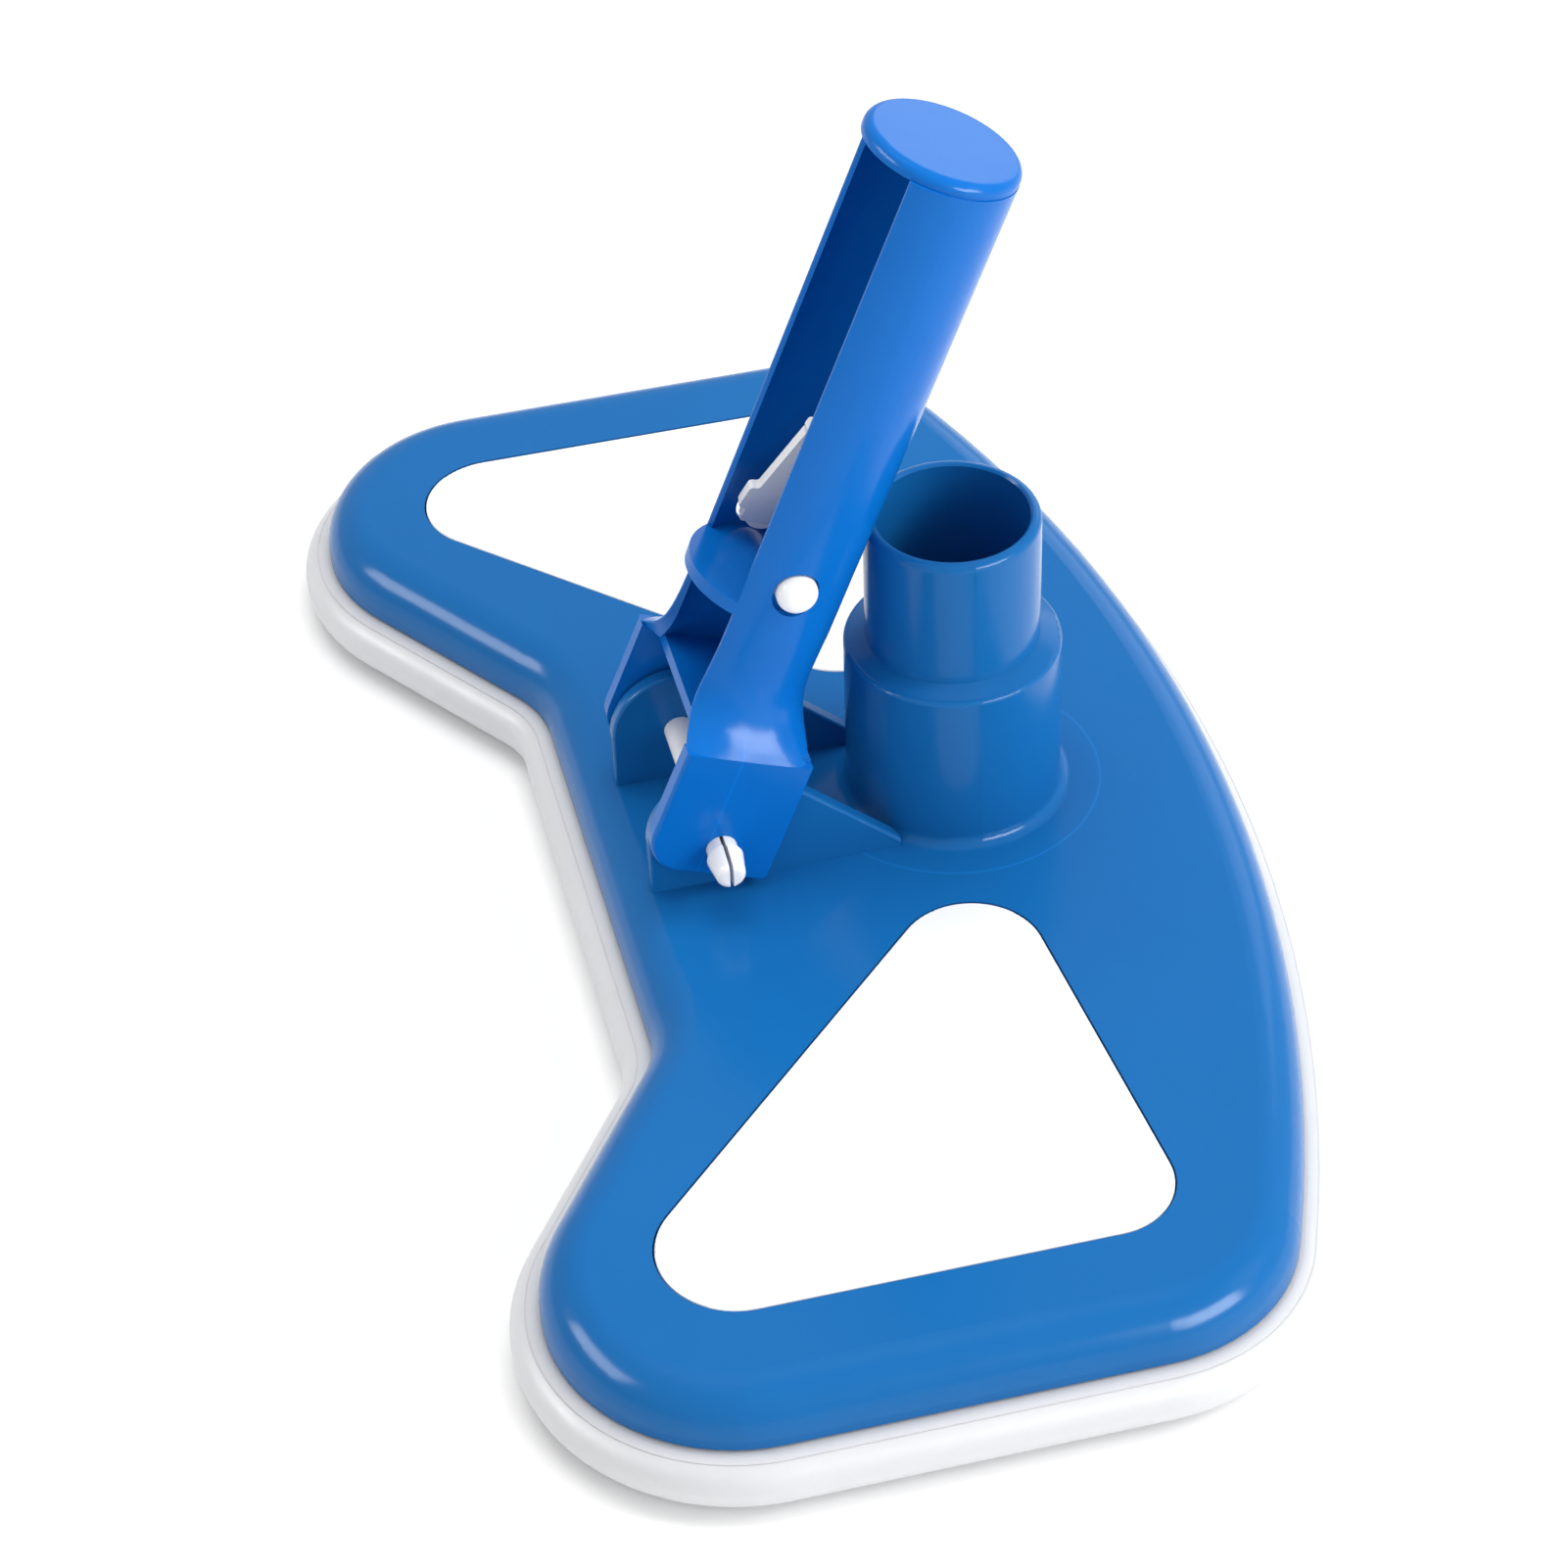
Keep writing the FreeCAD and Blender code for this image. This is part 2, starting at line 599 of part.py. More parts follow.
def make_tube():
    """Upper part of the channel: a capped C-section with slanted free edges and a stop disc."""
    tube = cylinder(TUBE_R, 0, 0, FLARE_TOP, CAP_FOOT)
    tube = tube.cut(cylinder(TUBE_R - TUBE_WALL, 0, 0, FLARE_TOP - EPS, CAP_FOOT + EPS))
    lip_x = math.sqrt(TUBE_R ** 2 - OPEN_Y ** 2) - OPEN_LAND
    far = 2 * TUBE_R
    mouth = [(0, 0), (lip_x, OPEN_Y), (far, OPEN_Y), (far, -far)]
    mouth += [(-x, y) for x, y in reversed(mouth)]
    mouth = Part.makePolygon([Vector(x, y, FLARE_TOP - EPS) for x, y in mouth])
    tube = tube.cut(prism(mouth, CAP_FOOT - FLARE_TOP + 2 * EPS))
    cap = cylinder(CAP_R, 0, CAP_SET, CAP_FOOT, CAP_TOP)
    cap = cap.makeFillet(CAP_EDGE_R, edges_at(cap, CAP_TOP))
    stop = cylinder(TUBE_R, 0, 0, STOP_FOOT, STOP_TOP)
    return tube.fuse([cap, stop])


def make_ears():
    """Two fork ears with a rounded rear corner and the pin hole."""
    rear = [Vector(0, EAR_REAR_TOP, FLARE_FOOT), Vector(0, EAR_REAR, EAR_FOOT + EAR_CORNER_R)]
    front_y = FORK_FRONT - AXIS_SET
    q = EAR_CORNER_R * (1 - math.sqrt(0.5))
    foot_start = Vector(0, EAR_REAR + EAR_CORNER_R, EAR_FOOT)
    foot_end = Vector(0, front_y, EAR_FOOT)
    top = Vector(0, front_y, FLARE_FOOT)
    edges = [
        Part.LineSegment(rear[0], rear[1]).toShape(),
        Part.Arc(rear[1], Vector(0, EAR_REAR + q, EAR_FOOT + q), foot_start).toShape(),
        Part.LineSegment(foot_start, foot_end).toShape(),
        Part.LineSegment(foot_end, top).toShape(),
        Part.LineSegment(top, rear[0]).toShape(),
    ]
    ear = Part.Face(Part.Wire(edges)).extrude(Vector(EAR, 0, 0))
    ear.translate(Vector(FORK_HALF - EAR, 0, 0))
    corner = [
        e for e in ear.Edges
        if e.BoundBox.YMin > front_y - TINY and e.BoundBox.ZMax < EAR_FOOT + TINY
    ]
    ear = ear.makeFillet(EAR_FRONT_R, corner)
    rim = [
        e for e in ear.Edges
        if e.BoundBox.XMin > FORK_HALF - TINY and e.BoundBox.ZMin < FLARE_FOOT - TINY
    ]
    ear = ear.makeFillet(EAR_EDGE_R, rim)
    ear = ear.cut(x_cylinder(PIN_HOLE_R, FORK_HALF - EAR - EPS, FORK_HALF + EPS))
    return [ear, mirrored_x(ear)]


def make_handle():
    """Channel handle: capped tube that flares into a two-eared fork, with a web across it."""
    web_rear = OPEN_Y + WEB_REAR
    web = Part.makeBox(
        2 * (FORK_HALF - EAR / 2), FORK_FRONT - web_rear - TUBE_WALL / 2, WEB,
        Vector(-FORK_HALF + EAR / 2, web_rear, WEB_TOP - WEB),
    )
    body = make_tube().fuse([make_flare(), web])
    for side in SIDES.values():
        x0, x1 = sorted((side * (TUBE_R - 4 * TUBE_WALL), side * (TUBE_R + EPS)))
        body = body.cut(x_cylinder(HOLE_R, x0, x1, 0, BUTTON_H))
        body = body.cut(x_cylinder(HOLE_R, x0, x1, 0, BUTTON_H - HOLE_DROP))
    body.translate(Vector(0, -AXIS_SET, 0))
    return tilted(body.fuse(make_ears()).removeSplitter())


def make_clip_bridge():
    """Bend at the top of the spring clip."""
    y0 = -ARM_TOP_HALF - AXIS_SET

    def ring(radius):
        return Part.makeCylinder(radius, 2 * ARM_TOP_HALF, Vector(0, y0, APEX_H), Vector(0, 1, 0))

    bend = ring(APEX_R).cut(ring(APEX_HOLE_R))
    lower = Part.makeBox(
        4 * APEX_R, 4 * ARM_HALF, 2 * APEX_R,
        Vector(-2 * APEX_R, y0 - ARM_HALF, APEX_H - 2 * APEX_R),
    )
    return tilted(bend.cut(lower))


def make_clip_arm(side):
    """One spring arm with its button: a flat strip that slants out to the channel's wall."""
    share = 1 / math.cos(math.radians(ARM_SPREAD))
    foot = APEX_H - (APEX_H - ARM_FOOT) * share
    tab_low = APEX_H - (APEX_H - TAB_SPAN[0]) * share
    tab_high = APEX_H - (APEX_H - TAB_SPAN[1]) * share
    half_y = ARM_HALF
    inner = APEX_HOLE_R
    outline = [(-ARM_TOP_HALF, APEX_H - ARM_GAP), (-half_y, tab_high), (-half_y, foot)]
    outline += [(-y, z) for y, z in reversed(outline)]
    outline.append(outline[0])
    strip_wire = Part.makePolygon([Vector(inner, y, z) for y, z in outline])
    arm = Part.Face(strip_wire).extrude(Vector(ARM, 0, 0))
    tab = Part.makeBox(ARM, TAB_OUT + EPS, tab_high - tab_low, Vector(inner, -half_y - TAB_OUT, tab_low))
    arm = arm.fuse(tab).removeSplitter()
    corners = [
        e for e in arm.Edges
        if e.BoundBox.XLength > ARM - TINY
        and e.BoundBox.YMin < -half_y + TINY
        and e.BoundBox.ZMax < APEX_H - 2 * ARM_GAP
    ]
    arm = arm.makeFillet(ARM_CORNER_R, corners)
    hinge = Vector(inner + ARM / 2, 0, APEX_H)
    arm.rotate(hinge, Vector(0, 1, 0), -ARM_SPREAD)
    root = hinge.x + (APEX_H - BUTTON_H) * math.tan(math.radians(ARM_SPREAD))
    button = x_cylinder(BUTTON_R, root, BUTTON_END, 0, BUTTON_H)
    rim = [e for e in button.Edges if e.BoundBox.XMin > BUTTON_END - TINY]
    button = button.makeFillet(BUTTON_EDGE_R, rim)
    arm = arm.fuse(button).removeSplitter()
    arm.translate(Vector(0, -AXIS_SET, 0))
    return tilted(on_side(arm, side))


def tilted(shape):
    """Set an upright handle piece at its pivot, leaning on the cuff."""
    lean = Placement(Vector(0, PIVOT_Y, TOP_Z + PIVOT_H), Rotation(Vector(1, 0, 0), -TILT))
    moved = shape.copy()
    moved.transformShape(lean.toMatrix(), True)
    return moved


def middle_y():
    """Middle of the bumper from front to back, measured from the cuff's axis."""
    rear = outline_parts(0)["rear"].y - REAR_CORNER_R - BUMPER_OUT
    front = FRONT_Y + BUMPER_OUT
    return (front + rear) / 2


def build():
    pieces = {
        "top_shell": make_top_shell(),
        "bumper": make_bumper(),
        "base_plate": make_base_plate(),
        "base_screws": make_base_screws(),
        "handle": make_handle(),
        "pivot_pin": make_pivot_pin(),
        "clip_bridge": make_clip_bridge(),
        "brush_notch": make_notch_row(),
    }
    for name, side in SIDES.items():
        pieces["weight_cover_" + name] = on_side(make_weight_cover(), side)
        pieces["ballast_" + name] = on_side(make_ballast(), side)
        pieces["clip_arm_" + name] = make_clip_arm(side)
        pieces["brush_front_" + name] = on_side(make_front_row(), side)
        pieces["brush_side_" + name] = on_side(make_side_row(), side)
        pieces["brush_wing_" + name] = on_side(make_wing_row(), side)
        pieces["brush_inner_" + name] = on_side(make_inner_row(), side)
    return pieces


def main():
    os.makedirs("parts", exist_ok=True)
    shift = Vector(0, -middle_y(), 0)
    for name, shape in build().items():
        shape.translate(shift)
        shape.exportStep("parts/" + name + ".step")
        print(name, "solids", len(shape.Solids), "valid", shape.isValid(), "volume", round(shape.Volume))


main()
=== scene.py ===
import json
import math
import random

import bpy
import numpy as np
from mathutils import Matrix, Vector


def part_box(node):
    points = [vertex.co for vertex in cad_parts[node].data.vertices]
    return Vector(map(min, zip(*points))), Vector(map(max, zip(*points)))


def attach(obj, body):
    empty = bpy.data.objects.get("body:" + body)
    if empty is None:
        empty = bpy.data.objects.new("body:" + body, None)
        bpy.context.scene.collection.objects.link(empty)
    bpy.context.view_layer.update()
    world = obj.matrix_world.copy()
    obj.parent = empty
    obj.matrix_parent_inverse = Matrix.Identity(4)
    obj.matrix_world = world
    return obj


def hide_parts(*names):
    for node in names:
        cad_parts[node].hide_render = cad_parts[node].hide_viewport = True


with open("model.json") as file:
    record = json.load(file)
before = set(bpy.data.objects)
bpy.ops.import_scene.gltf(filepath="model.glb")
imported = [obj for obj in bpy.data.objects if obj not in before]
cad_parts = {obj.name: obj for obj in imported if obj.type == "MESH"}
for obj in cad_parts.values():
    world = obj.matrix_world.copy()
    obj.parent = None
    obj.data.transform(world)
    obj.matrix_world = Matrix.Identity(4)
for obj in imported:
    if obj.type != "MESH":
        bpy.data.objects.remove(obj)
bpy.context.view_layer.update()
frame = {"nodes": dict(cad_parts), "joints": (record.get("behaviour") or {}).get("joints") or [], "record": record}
nodes = frame["nodes"]
mounts = {mount["name"]: mount for mount in frame["record"]["mounts"]}
joints = {joint["name"]: joint for joint in frame["joints"]}
MM = 0.001

# --- camera: the photograph's viewing angle, in the row frame ---------------------------------
CAMERA_AT = (0.56516, -0.132935, 0.53653)
CAMERA_AZIMUTH = -12.522
CAMERA_ELEVATION = 41.377
CAMERA_ROLL = -2.17
CAMERA_LENS = 99.22
CAMERA_SENSOR = 36.0

# --- bristles -----------------------------------------------------------------------------------
BRISTLE_SEED = 11
TUFT_PITCH = 4.0 * MM
TUFT_LANE = 1.6 * MM
TUFT_ROOT_R = 1.0 * MM
TUFT_TIP_R = 1.7 * MM
TUFT_FILAMENTS = 24
FILAMENT_R = 0.13 * MM
FILAMENT_BEND = 0.25 * MM
FILAMENT_SHORT = 0.5 * MM
FILAMENT_SIDES = 4
FILAMENT_RINGS = (1.0, 1.0, 0.75)        # radius at the root, the middle and the tip, as a share
TUFT_TURN = math.pi * (3 - math.sqrt(5)) # golden angle, so filaments fill the tuft evenly
TUFT_JITTER = 0.2                        # radians
TUFT_SPREAD = (0.8, 1.1)                 # share of the tip radius
LANE_STAGGER = 0.25                      # share of the tufts' spacing
STRIP_HEIGHT = 1.5 * MM
STRIP_EDGE = 0.35 * MM
STRIP_STEPS = 16
CURVE_CUTOFF = 1e-6                      # share of the largest singular value that the fit ignores

# --- mould marks, drawn lighter as painted highlights ---------------------------------------------
RING_R = 26.5 * MM           # witness ring round the cuff, drawn lighter as a painted highlight
RING_HALF = 0.35 * MM
DECK_Z = 21.6 * MM
PARTING_HALF = 0.22 * MM
PARTING_X = 16.5 * MM        # the parting line's painted highlight shows outside this, on the flare and the ears
HANDLE_TILT = 21.5           # degrees from upright, at rest
HANDLE_SET = 2.63 * MM       # the tube's axis lies this far behind the pivot

# --- colours, linear ------------------------------------------------------------------------------
SHELL_BLUE = (0.007, 0.126, 0.375)
HANDLE_BLUE = (0.002, 0.135, 0.50)
CLEAN_WHITE = (0.86, 0.865, 0.88)
MILKY_WHITE = (0.64, 0.645, 0.66)
BRISTLE_WHITE = (0.80, 0.80, 0.82)
IRON_GREY = (0.05, 0.05, 0.052)
STEEL_GREY = (0.55, 0.55, 0.56)
FLOOR_WHITE = (0.97, 0.97, 0.97)
PLASTIC_SPECULAR = 0.17
DUST_WHITE = (0.75, 0.77, 0.8)
DIRT_BROWN = (0.12, 0.11, 0.1)
PLASTIC_TONE = 0.06          # how far the colour drifts to either side
VINYL_TONES = (0.97, 1.03)
VINYL_STAIN_TONE = 0.9
BRISTLE_TONES = (0.86, 1.08)
METAL_TONES = (0.75, 1.2)
FLOOR_TONE = 0.99
# strength and gain of the painted highlight drawn along the mould marks
HIGHLIGHT_LINE_STRENGTH = 0.35
HIGHLIGHT_LINE_GAIN = 1.8

# --- patterns: each is a feature size, a detail and, if it isn't round, a stretch along X, Y, Z ---
PLASTIC_DRIFT = (60 * MM, 2)
PLASTIC_FLOW = (9 * MM, 4, (1, 3, 1))
PLASTIC_SMUDGE = (18 * MM, 4)
PLASTIC_HAIRLINE = (1.3 * MM, 2, (1, 30, 30))
PLASTIC_WAVE = (14 * MM, 1)
PLASTIC_PEEL = (1.6 * MM, 2)
VINYL_DRIFT = (35 * MM, 3)
VINYL_STAIN = (2.2 * MM, 3)
VINYL_SMUDGE = (12 * MM, 4)
VINYL_WAVE = (11 * MM, 2)
VINYL_GRAIN = (0.7 * MM, 2)
BRISTLE_STREAK = (1.1 * MM, 2, (1, 1, 0.08))
BRISTLE_GRAIN = (0.3 * MM, 1)
FLOOR_DRIFT = (0.4, 2)
FLOOR_GRAIN = (5 * MM, 2)

# --- levels: the span of the pattern that shows, and what it becomes ------------------------------
PLASTIC_FLOW_LEVELS = (0.45, 0.75, 0, 0.35)
PLASTIC_SMUDGE_SPAN = (0.4, 0.75)
PLASTIC_SMUDGE_ROUGHNESS = 0.07
PLASTIC_HAIRLINE_LEVELS = (0.66, 0.72, 0, 0.1)
VINYL_STAIN_LEVELS = (0.62, 0.8, 0, 0.35)
VINYL_ROUGHNESS = (0.3, 0.7, 0.34, 0.5)
BRISTLE_ROUGHNESS = (0.3, 0.7, 0.3, 0.5)
METAL_SPAN = (0.3, 0.7)
FLOOR_ROUGHNESS = (0, 1, 0.6, 0.8)

# --- depths of bumps ------------------------------------------------------------------------------
PLASTIC_WAVE_DEPTH = 0.072 * MM
PLASTIC_PEEL_DEPTH = 0.012 * MM
VINYL_WAVE_DEPTH = 0.12 * MM
VINYL_GRAIN_DEPTH = 0.012 * MM
BRISTLE_GRAIN_DEPTH = 0.004 * MM

# --- specks: spacing, radius, share of the places that have one -----------------------------------
DUST = (26 * MM, 0.35 * MM, 0.05)
DIRT = (30 * MM, 0.3 * MM, 0.06)

# --- metals: colour, roughness, grain size, grain depth, stretch ----------------------------------
METAL_DETAIL = 4
METALS = {
    "ballast_iron": (IRON_GREY, (0.5, 0.8), 1.2 * MM, 0.1 * MM, (1, 1, 1)),
    "screw_steel": (STEEL_GREY, (0.2, 0.4), 0.6 * MM, 0.01 * MM, (1, 12, 1)),
}

# --- other shader values --------------------------------------------------------------------------
SHELL_GLOSS = 0.16           # roughness where the plastic is clean
HANDLE_GLOSS = 0.18
COVER_GLOSS = 0.22
COVER_TONE = 0.02
PLASTIC_IOR = 1.49
VINYL_GLOW = 0.35            # share of the light that goes in and comes out again
VINYL_GLOW_DEPTH = 4 * MM
MIX_COLOURS = (6, 7)         # the Mix node's sockets for two colours
MIX_RESULT = 2

# --- floor ----------------------------------------------------------------------------------------
FLOOR_SIZE = 6
FLOOR_DROP = 0.02 * MM

# --- lights: place, target, size, power in watts, seen in reflections, lights surfaces ------------
WORLD_STRENGTH = 0.66
LIGHTS = {
    "overhead": ((-0.2, 0.0, 1.3), (-0.03, 0, 0), (0.9, 0.7), 8.5, False, True),
    "front_key": ((0.35, 1.0, 0.8), (0, 0, 0.05), (0.5, 0.5), 7, False, True),
    "near_fill": ((0.95, 0.7, 0.45), (0, 0, 0.03), (0.8, 0.6), 4.5, False, True),
    "rear_strip": ((-0.1, -1.05, 0.66), (0, 0, 0.03), (0.8, 0.4), 13, True, False),
    "flare_patch": ((0.66, 0.47, 0.34), (0, -0.02, 0.05), (0.5, 0.3), 9, True, False),
    "backdrop": ((-0.7, 0.6, 0.42), (0, 0, 0.08), (0.6, 0.4), 1.1, True, False),
}


class Material:
    """A node material with a Principled shader, and short calls that add texture nodes to it."""

    def __init__(self, name):
        self.material = bpy.data.materials.new(name)
        self.material.use_nodes = True
        self.tree = self.material.node_tree
        self.shader = self.tree.nodes["Principled BSDF"]
        self.position = self.add("ShaderNodeTexCoord").outputs["Object"]

    def add(self, kind, **settings):
        node = self.tree.nodes.new(kind)
        for key, value in settings.items():
            setattr(node, key, value)
        return node

    def link(self, output, socket):
        self.tree.links.new(output, socket)

    def noise(self, size, detail=3.0, stretch=(1, 1, 1)):
        """Noise from 0 to 1 with features about size metres across."""
        mapping = self.add("ShaderNodeMapping")
        mapping.inputs["Scale"].default_value = stretch
        self.link(self.position, mapping.inputs["Vector"])
        noise = self.add("ShaderNodeTexNoise")
        noise.inputs["Scale"].default_value = 1 / size
        noise.inputs["Detail"].default_value = detail
        self.link(mapping.outputs["Vector"], noise.inputs["Vector"])
        return noise.outputs["Fac"]

    def remap(self, value, low, high, to_low, to_high):
        """The span from low to high stretched to the span from to_low to to_high."""
        node = self.add("ShaderNodeMapRange")
        self.link(value, node.inputs["Value"])
        bounds = {"From Min": low, "From Max": high, "To Min": to_low, "To Max": to_high}
        for key, number in bounds.items():
            node.inputs[key].default_value = number
        return node.outputs["Result"]

    def math(self, operation, first, second):
        """Result of the operation on two values, each a number or an output."""
        node = self.add("ShaderNodeMath", operation=operation)
        for socket, value in zip(node.inputs, (first, second)):
            if isinstance(value, (int, float)):
                socket.default_value = value
            else:
                self.link(value, socket)
        return node.outputs[0]

    def mix(self, amount, first, second):
        """Colour between first and second, each a colour or an output."""
        node = self.add("ShaderNodeMix", data_type="RGBA")
        self.link(amount, node.inputs["Factor"])
        for index, value in zip(MIX_COLOURS, (first, second)):
            if isinstance(value, tuple):
                node.inputs[index].default_value = (*value, 1)
            else:
                self.link(value, node.inputs[index])
        return node.outputs[MIX_RESULT]

    def specks(self, spacing, radius, share):
        """1 on a few small round specks and 0 elsewhere."""
        cells = self.add("ShaderNodeTexVoronoi")
        cells.inputs["Scale"].default_value = 1 / spacing
        self.link(self.position, cells.inputs["Vector"])
        near = self.math("LESS_THAN", cells.outputs["Distance"], radius / spacing)
        split = self.add("ShaderNodeSeparateColor")
        self.link(cells.outputs["Color"], split.inputs["Color"])
        chosen = self.math("LESS_THAN", split.outputs["Red"], share)
        return self.math("MULTIPLY", near, chosen)

    def ring(self, centre, radius, half_width):
        """Soft line where the distance from a vertical axis through centre equals radius."""
        offset = self.add("ShaderNodeVectorMath", operation="SUBTRACT")
        offset.inputs[1].default_value = centre
        self.link(self.position, offset.inputs[0])
        level = self.add("ShaderNodeVectorMath", operation="MULTIPLY")
        level.inputs[1].default_value = (1, 1, 0)
        self.link(offset.outputs[0], level.inputs[0])
        length = self.add("ShaderNodeVectorMath", operation="LENGTH")
        self.link(level.outputs[0], length.inputs[0])
        away = self.math("SUBTRACT", length.outputs["Value"], radius)
        return self.remap(self.math("ABSOLUTE", away, 0), 0, half_width, 1, 0)

    def plane_line(self, point, normal, half_width):
        """Soft line where the surface meets the plane through point, square to normal."""
        along = self.add("ShaderNodeVectorMath", operation="DOT_PRODUCT")
        along.inputs[1].default_value = normal
        self.link(self.position, along.inputs[0])
        away = self.math("SUBTRACT", along.outputs["Value"], point.dot(normal))
        return self.remap(self.math("ABSOLUTE", away, 0), 0, half_width, 1, 0)

    def part_where(self, axis, operation, limit):
        """1 where the distance from the origin along the axis passes the test, 0 elsewhere."""
        split = self.add("ShaderNodeSeparateXYZ")
        self.link(self.position, split.inputs["Vector"])
        return self.math(operation, self.math("ABSOLUTE", split.outputs[axis], 0), limit)

    def colour(self, value):
        self.link(value, self.shader.inputs["Base Color"])

    def roughness(self, value):
        self.link(value, self.shader.inputs["Roughness"])

    def bump(self, height, depth, under=None):
        """Bump of the given depth in metres, on top of another bump if there is one."""
        node = self.add("ShaderNodeBump")
        node.inputs["Distance"].default_value = depth
        self.link(height, node.inputs["Height"])
        if under is not None:
            self.link(under, node.inputs["Normal"])
        self.link(node.outputs["Normal"], self.shader.inputs["Normal"])
        return node.outputs["Normal"]


def scaled(colour, factor):
    """The colour with each channel multiplied by factor."""
    return tuple(channel * factor for channel in colour)


def make_plastic(name, colour, gloss, tone=PLASTIC_TONE, specks=None, painted_highlight=None):
    """Moulded plastic: slight tone drift, flow marks, orange peel, hairline scratches, dust.

    The optional line function, passed last, takes the material and gives the strength of a mould line, which is
    drawn lighter as a painted highlight.
    """
    m = Material(name)
    base = m.mix(m.noise(*PLASTIC_DRIFT), scaled(colour, 1 - tone), scaled(colour, 1 + tone))
    flow = m.remap(m.noise(*PLASTIC_FLOW), *PLASTIC_FLOW_LEVELS)
    base = m.mix(flow, base, scaled(colour, 1 + tone))
    if specks is not None:
        base = m.mix(m.specks(*specks), base, DUST_WHITE)
    if painted_highlight is not None:
        # painted highlight: the mould line is mixed towards a lighter blue, standing in for its ridge catching the
        # light
        base = m.mix(m.math("MULTIPLY", painted_highlight(m), HIGHLIGHT_LINE_STRENGTH), base, scaled(colour, HIGHLIGHT_LINE_GAIN))
    m.colour(base)
    smudge_noise = m.noise(*PLASTIC_SMUDGE)
    smudge = m.remap(smudge_noise, *PLASTIC_SMUDGE_SPAN, gloss, gloss + PLASTIC_SMUDGE_ROUGHNESS)
    hairline = m.remap(m.noise(*PLASTIC_HAIRLINE), *PLASTIC_HAIRLINE_LEVELS)
    m.roughness(m.math("ADD", smudge, hairline))
    wave = m.bump(m.noise(*PLASTIC_WAVE), PLASTIC_WAVE_DEPTH)
    m.bump(m.noise(*PLASTIC_PEEL), PLASTIC_PEEL_DEPTH, wave)
    m.shader.inputs["IOR"].default_value = PLASTIC_IOR
    m.shader.inputs["Specular IOR Level"].default_value = PLASTIC_SPECULAR
    return m.material


def witness_ring_highlight(m):
    """Painted highlight: a faint lighter ring on the deck round the cuff, standing in for the mark the mould's
    core left there catching the light.
    """
    centre = mounts["hose_cuff_large"]["pos_m"]
    on_deck = m.part_where("Z", "LESS_THAN", DECK_Z)
    return m.math("MULTIPLY", m.ring(centre, RING_R, RING_HALF), on_deck)


def parting_line_highlight(m):
    """Painted highlight along the line where the halves of the handle's mould met, on the flare and the ears."""
    lean = math.radians(HANDLE_TILT)
    normal = Vector((0, math.cos(lean), -math.sin(lean)))
    axis_point = Vector(joints["handle_pivot"]["pos_m"]) - normal * HANDLE_SET
    on_sides = m.part_where("X", "GREATER_THAN", PARTING_X)
    return m.math("MULTIPLY", m.plane_line(axis_point, normal, PARTING_HALF), on_sides)


def make_milky_vinyl():
    """Soft cloudy white, with light that goes a little way into it."""
    m = Material("bumper_vinyl")
    low_tone, high_tone = VINYL_TONES
    base = m.mix(m.noise(*VINYL_DRIFT), scaled(MILKY_WHITE, low_tone), scaled(MILKY_WHITE, high_tone))
    stain = m.remap(m.noise(*VINYL_STAIN), *VINYL_STAIN_LEVELS)
    base = m.mix(stain, base, scaled(MILKY_WHITE, VINYL_STAIN_TONE))
    m.colour(m.mix(m.specks(*DIRT), base, DIRT_BROWN))
    m.roughness(m.remap(m.noise(*VINYL_SMUDGE), *VINYL_ROUGHNESS))
    wave = m.bump(m.noise(*VINYL_WAVE), VINYL_WAVE_DEPTH)
    m.bump(m.noise(*VINYL_GRAIN), VINYL_GRAIN_DEPTH, wave)
    m.shader.inputs["Subsurface Weight"].default_value = VINYL_GLOW
    m.shader.inputs["Subsurface Radius"].default_value = (1, 1, 1)
    m.shader.inputs["Subsurface Scale"].default_value = VINYL_GLOW_DEPTH
    return m.material


def make_bristle_white():
    """White nylon with streaks along the filaments."""
    m = Material("bristle_nylon")
    low_tone, high_tone = BRISTLE_TONES
    streak = m.noise(*BRISTLE_STREAK)
    m.colour(m.mix(streak, scaled(BRISTLE_WHITE, low_tone), scaled(BRISTLE_WHITE, high_tone)))
    m.roughness(m.remap(streak, *BRISTLE_ROUGHNESS))
    m.bump(m.noise(*BRISTLE_GRAIN), BRISTLE_GRAIN_DEPTH)
    return m.material


def make_metal(name, colour, roughness, grain, depth, stretch):
    """Metal whose grain shows in its colour, its roughness and its bumps."""
    m = Material(name)
    low_tone, high_tone = METAL_TONES
    pattern = m.noise(grain, METAL_DETAIL, stretch)
    m.colour(m.mix(pattern, scaled(colour, low_tone), scaled(colour, high_tone)))
    m.roughness(m.remap(pattern, *METAL_SPAN, *roughness))
    m.bump(pattern, depth)
    m.shader.inputs["Metallic"].default_value = 1
    return m.material


def make_materials():
    """One material for each material slot in the record."""
    made = {
        "shell_blue": make_plastic(
            "shell_blue", SHELL_BLUE, SHELL_GLOSS, specks=DUST, painted_highlight=witness_ring_highlight),
        "handle_blue": make_plastic("handle_blue", HANDLE_BLUE, HANDLE_GLOSS, painted_highlight=parting_line_highlight),
        "white_plastic": make_plastic("white_plastic", CLEAN_WHITE, COVER_GLOSS, tone=COVER_TONE),
        "bumper_vinyl": make_milky_vinyl(),
        "bristle_nylon": make_bristle_white(),
    }
    for name, settings in METALS.items():
        made[name] = make_metal(name, *settings)
    return made


def paint_cad_nodes(materials):
    """Give each CAD node the material of its slot in the record."""
    for part in frame["record"]["subparts"]:
        mesh = nodes[part["node"]].data
        mesh.materials.clear()
        mesh.materials.append(materials[part["material_slot"]])


